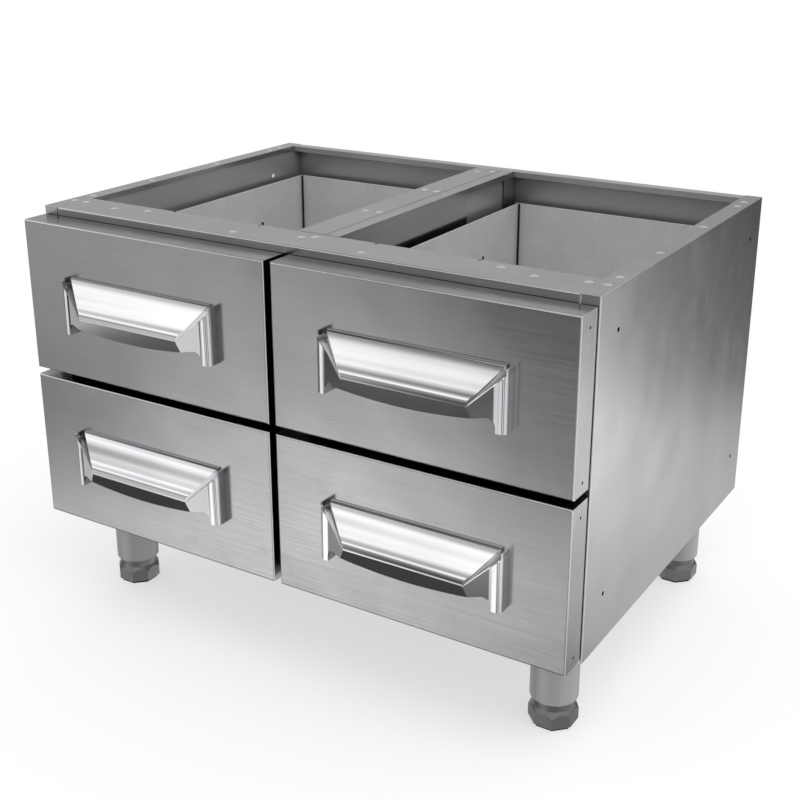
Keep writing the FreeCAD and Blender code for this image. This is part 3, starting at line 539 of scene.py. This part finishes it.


# %% [markdown]
# The drawer fronts are brushed along their length, the cabinet sheets have a finer satin, its back,
# bottom and liners are plain mill sheet, the boxes are duller still, and the handles are cast and
# polished almost to a mirror. Each could be a material of its own, but they differ only in a few
# settings of the one recipe. A hole is a finish too: a very dark one, painted shade for an unlit
# inside, or a pale one where light seems to come through.

# %% Steels
HOLLOW = dict(roughness=0.6, strokes=(90, 90, 90), edge=0.0, dust=0.0, cloud=0.004)
RECIPES = {
    "brushed_front": dict(
        base=0.45, roughness=0.2, strokes=(5, 900, 900), brush=0.14, lift=0.3, wave=0.0003,
        fold_highlight=0.9, crevice_shade=0.5, shape=bowed,
    ),
    "satin_steel": dict(
        base=0.56, roughness=0.2, strokes=(60, 60, 900), brush=0.08, lift=0.2, wave=0.0003,
        edge=1.0, fold_highlight=0.9, crevice_shade=0.8,
    ),
    "mill_steel": dict(
        base=0.5, roughness=0.33, strokes=(5, 7, 500), brush=0.08, lift=0.2, wave=0.0003,
        metal=0.75, edge=1.0, fold_highlight=0.7, crevice_shade=0.95,
    ),
    "box_steel": dict(
        base=0.62, roughness=0.42, strokes=(400, 400, 400), brush=0.25, lift=0.2, dust=0.2,
        cloud=0.05, metal=0.35, edge=1.0, fold_highlight=0.5, crevice_shade=0.95,
    ),
    "pressed_stud": dict(
        base=0.82, roughness=0.25, strokes=(200, 200, 5), brush=0.1, lift=0.1, cloud=0.02, edge=0.0
    ),
    "polished_steel": dict(
        base=0.93, roughness=0.12, strokes=(6, 260, 260), brush=0.05, lift=0.05, edge=0.0,
        dust=0.05, crevice_shade=0.6, frosted=0.5, shape=cast,
    ),
    "leg_steel": dict(
        base=0.57, roughness=0.48, strokes=(300, 300, 8), brush=0.12, lift=0.2, metal=0.65
    ),
    "foot_metal": dict(
        base=0.34, roughness=0.42, strokes=(120, 120, 120), brush=0.2, lift=0.3, edge=0.7
    ),
    "zinc_steel": dict(
        base=0.5, roughness=0.36, strokes=(90, 90, 90), brush=0.25, lift=0.2, cloud=0.02
    ),
    # a flat dark finish of painted shade, for an unlit hole or an open seam
    "painted_shade": dict(base=0.05, **HOLLOW),
    "lit_hole": dict(base=0.95, metal=0.0, **HOLLOW),
}
FINISHES = {name: steel(name, **recipe) for name, recipe in RECIPES.items()}
print("steels:", list(FINISHES))

# %% [markdown]
# The foot pads and the stops behind the drawer fronts are black rubber: no metal, very matt, with a
# fine pebble and a little pale dust. It isn't a steel, so it gets nodes of its own, but it takes the
# same groups for its clouds, edges and dust.

# %% Rubber
rubber = bpy.data.materials.new("black_rubber")
rubber.use_nodes = True
tree = rubber.node_tree
shader = tree.nodes["Principled BSDF"]
shader.inputs["Metallic"].default_value = 0.0
clouds = placed(tree, CLOUDS, Size=0.004)
settled = placed(tree, DUST, Size=0.003)
edges = placed(tree, EDGES, Width=0.0008)
colour = blended(tree, clouds["Marks"], grey(0.012), grey(0.022))
layers = [(edges["Edge"], 0.4, grey(0.06)), (settled["Dust"], 0.4, grey(0.12, WARM))]
tree.links.new(layered(tree, colour, layers), shader.inputs["Base Color"])
tree.links.new(calc(tree, "MULTIPLY_ADD", clouds["Marks"], 0.2, 0.6), shader.inputs["Roughness"])
pebble = node(tree, "ShaderNodeBump")
pebble.inputs["Strength"].default_value = 0.4
pebble.inputs["Distance"].default_value = 0.0003
tree.links.new(clouds["Marks"], pebble.inputs["Height"])
tree.links.new(pebble.outputs[0], shader.inputs["Normal"])
FINISHES["black_rubber"] = rubber
print("finishes in all:", len(FINISHES))

# %% [markdown]
# Each node of the model gets the finish that its name calls for. The names say what a piece is, so
# the end of the name is enough to choose by, and no piece has to be listed one by one.

# %% Finish every node
ENDINGS = (
    ("_front_skin", "brushed_front"),
    ("_drawer_box", "box_steel"),
    ("_front_backing", "satin_steel"),
    ("_handle", "polished_steel"),
    ("_runners", "zinc_steel"),
    ("_foot_pad", "black_rubber"),
    ("front_bumpers", "black_rubber"),
    ("_foot", "foot_metal"),
    ("leg_tubes", "leg_steel"),
    ("leg_inserts", "foot_metal"),
    ("leg_bolts", "zinc_steel"),
    ("_liner", "mill_steel"),
    ("back_panel", "mill_steel"),
    ("bottom_panel", "mill_steel"),
    ("", "satin_steel"),
)
counts = {}
for name, piece in NODES.items():
    finish = next(finish for ending, finish in ENDINGS if name.endswith(ending))
    piece.data.materials.clear()
    piece.data.materials.append(FINISHES[finish])
    counts[finish] = counts.get(finish, 0) + 1
print("nodes of each finish:", counts)

# %% [markdown]
# What the model doesn't hold is added as small pieces of mesh. Each rides the body that it sits on,
# so it moves along when a drawer opens. Painted dots would be flat and would blur close by, and a
# mesh of its own keeps its edge.


# %% Loose pieces
def loose_piece(name, built, finish):
    """A new object from a finished bmesh, in one finish."""
    mesh = bpy.data.meshes.new(name)
    built.to_mesh(mesh)
    built.free()
    piece = bpy.data.objects.new(name, mesh)
    bpy.context.scene.collection.objects.link(piece)
    mesh.materials.append(FINISHES[finish])
    return piece


# %% [markdown]
# Studs and holes are turned from a little profile, like a button on a lathe, and laid on the sheet:
# the studs catch the light on their rims, and the holes show as dark dots of painted shade for
# their unlit inside. Cutting the sheet itself would change the imported model, which stays as it
# is.

# %% Turned details
SIDES = 20  # corners round a turned detail


def ring(radius, up, place, aim):
    """Points round the axis of a turned detail, or its centre if the radius is 0."""
    steps = SIDES if radius else 1
    turns = [math.tau * step / steps for step in range(steps)]
    flat = [(radius * math.cos(turn), radius * math.sin(turn), up) for turn in turns]
    return [Vector(place) + aim @ (Vector(point) / 1000) for point in flat]


def turned(name, profile, places, facing, finish, body):
    """Small round details at several places, from (radius, height) points in millimetres."""
    aim = facing.to_track_quat("Z", "Y").to_matrix()
    built = bmesh.new()
    for place in places:
        rings = [
            [built.verts.new(point) for point in ring(radius, up, place, aim)]
            for radius, up in profile
        ]
        centre = rings[0][0]
        for k, corner in enumerate(rings[1]):
            built.faces.new((centre, corner, rings[1][(k + 1) % SIDES]))
        for inner, outer in zip(rings[1:], rings[2:]):
            for k in range(SIDES):
                after = (k + 1) % SIDES
                built.faces.new((inner[k], outer[k], outer[after], inner[after]))
    for face in built.faces:
        face.smooth = True
    piece = loose_piece(name, built, finish)
    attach(piece, body)
    print(name + ":", len(places))


# %% [markdown]
# The top frame carries shallow pressed studs where the sheets are joined. Their places are
# measured from the left side and the front of the cabinet, in millimetres. Both ends of the unit
# have the same pattern, so one end is listed and turned over to the other.

# %% Studs on the top frame
SIDE_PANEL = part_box("left_side_panel")
(LEFT, FRONT_PLANE, _), (_, _, TOP) = SIDE_PANEL
WIDTH = 800  # of the cabinet, in millimetres
PAIRED = [
    (93, 35), (140, 47), (306, 18), (12, 44), (12, 78), (33, 44),
    (12, 197), (12, 343), (12, 477), (12, 505),
]
ON_BAR = [
    (382, 198), (402, 201), (382, 350), (402, 348), (393, 40), (407, 49), (404, 510), (384, 500),
]
STUD = [
    (0, 0.02), (1.2, 0.05), (2.2, 0.22), (2.8, 0.34), (3.3, 0.38), (3.8, 0.32), (4.5, 0.14),
    (5.0, 0.0),
]
UP = Vector((0, 0, 1))


def on_top(spots):
    """Places on the top plane, from millimetres across and back."""
    return [(LEFT + across / 1000, FRONT_PLANE + back / 1000, TOP) for across, back in spots]


studs = PAIRED + [(WIDTH - across, back) for across, back in PAIRED] + ON_BAR
turned("top_frame_studs", STUD, on_top(studs), UP, "pressed_stud", "cabinet")

# %% [markdown]
# Near the back, the partition has a cut-out in its right skin, and a sheet shows behind it. Here a
# plain plate stands a little further in than the skin, with its front end bent away. It could be
# folded like the rest, but one strip of faces with a thickness is enough, because little more than
# its face is ever seen.

# %% Plate behind the cut-out
PLATE_SIDE = 0.0225  # middle of the unit to the face of the plate
PLATE_START, PLATE_SHORT = 0.397, 0.003  # from the front, and short of the skin's back
PLATE_RIM, PLATE_FOOT = 0.004, 0.070  # below the top plane
PLATE_GAUGE = 0.0008
BENT_END = [(-0.012, 0.0), (-0.001, 0.0), (-0.0003, 0.0003), (0.0, 0.001)]

web = LEFT + WIDTH / 2 / 1000 + PLATE_SIDE
start = FRONT_PLANE + PLATE_START
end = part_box("divider_right_skin")[1][1] - PLATE_SHORT
outline = [(web + across, start + back) for across, back in BENT_END] + [(web, end)]
plate = bmesh.new()
for up in (TOP - PLATE_FOOT, TOP - PLATE_RIM):
    for across, back in outline:
        plate.verts.new((across, back, up))
plate.verts.ensure_lookup_table()
for k in range(len(outline) - 1):
    plate.faces.new([plate.verts[k + n] for n in (0, 1, 1 + len(outline), len(outline))])
closing = loose_piece("divider_closing_plate", plate, "mill_steel")
thick = closing.modifiers.new("thickness", "SOLIDIFY")
thick.thickness = PLATE_GAUGE
thick.offset = -1.0
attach(closing, "cabinet")
print("plate behind the cut-out, mm:", [round(1000 * side) for side in closing.dimensions])

# %% [markdown]
# The sheets have small punched holes. They are too small to look into, so each is a flat dark dot
# of painted shade, for the unlit inside of the hole, inside a thin burr. The top frame has four,
# and each drawer front has two in its outer end.

# %% Holes in the frame and the fronts
HOLE = [(0, 0.03), (1.5, 0.03), (1.8, 0.1), (2.0, 0.0)]
ON_FRAME = [(313, 61), (487, 61), (626, 61), (174, 61)]
# From the back, the bottom and the top of a drawer front.
HOLE_BACK, HOLE_LOW, HOLE_HIGH = 0.0175, 0.0135, 0.0175

turned("top_frame_holes", HOLE, on_top(ON_FRAME), UP, "painted_shade", "cabinet")
for row in ("lower", "upper"):
    for column, way in (("left", -1), ("right", 1)):
        low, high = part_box(f"{row}_{column}_front_skin")
        outer, back = high[0] if way > 0 else low[0], high[1] - HOLE_BACK
        ends = [(outer, back, low[2] + HOLE_LOW), (outer, back, high[2] - HOLE_HIGH)]
        name, drawer = f"{row}_{column}_end_holes", f"{row}_{column}_drawer"
        turned(name, HOLE, ends, Vector((way, 0, 0)), "painted_shade", drawer)

# %% [markdown]
# Inside, each upper box has a wider hole in its left wall, made like the others. The left inner
# wall also shows one bright spot, probably light through a hole behind it. A real hole would need a
# bright room behind the unit to shine, so a pale dot stands for it.

# %% Holes inside
GAUGE = 0.001
INWARD = Vector((1, 0, 0))
WIDE_HOLE = [(0, 0.03), (2.5, 0.03), (2.9, 0.1), (3.2, 0.0)]
BOX_HOLE_BACK, BOX_HOLE_DOWN = 0.421, 0.108  # from the front and the top of the cabinet
LINER_HOLE_BACK, LINER_HOLE_DOWN = 0.471, 0.040

for column in ("left", "right"):
    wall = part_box(f"upper_{column}_drawer_box")[0][0] + GAUGE
    spot = (wall, FRONT_PLANE + BOX_HOLE_BACK, TOP - BOX_HOLE_DOWN)
    name, drawer = f"upper_{column}_box_hole", f"upper_{column}_drawer"
    turned(name, WIDE_HOLE, [spot], INWARD, "painted_shade", drawer)
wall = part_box("left_liner")[1][0]
spot = (wall, FRONT_PLANE + LINER_HOLE_BACK, TOP - LINER_HOLE_DOWN)
turned("left_liner_hole", WIDE_HOLE, [spot], INWARD, "lit_hole", "cabinet")

# %% [markdown]
# The walls of a drawer box are folded up and left open at the back corners. From above each open
# corner reads as a dark line. The imported box has the gap too, but so narrow that it hardly shows,
# and the imported model stays as it is. So a thin dark strip of painted shade stands just in front
# of each gap, for the shade inside it.

# %% Painted shade in the seams of the boxes
SEAM, STRIP = 0.003, 0.0002

for row in ("lower", "upper"):
    for column in ("left", "right"):
        low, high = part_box(f"{row}_{column}_drawer_box")
        built = bmesh.new()
        tall = high[2] - low[2] - 3 * GAUGE
        size = Matrix.Diagonal((SEAM, STRIP, tall, 1))
        for side in (low[0] + GAUGE + SEAM / 2, high[0] - GAUGE - SEAM / 2):
            middle = Vector((side, high[1] - GAUGE - STRIP, low[2] + 2 * GAUGE + tall / 2))
            bmesh.ops.create_cube(built, matrix=Matrix.Translation(middle) @ size)
        # dark strips of painted shade for the open corners
        seam_shade = loose_piece(f"{row}_{column}_box_seam_shade", built, "painted_shade")
        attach(seam_shade, f"{row}_{column}_drawer")
        print(seam_shade.name, "mm tall:", round(1000 * tall))
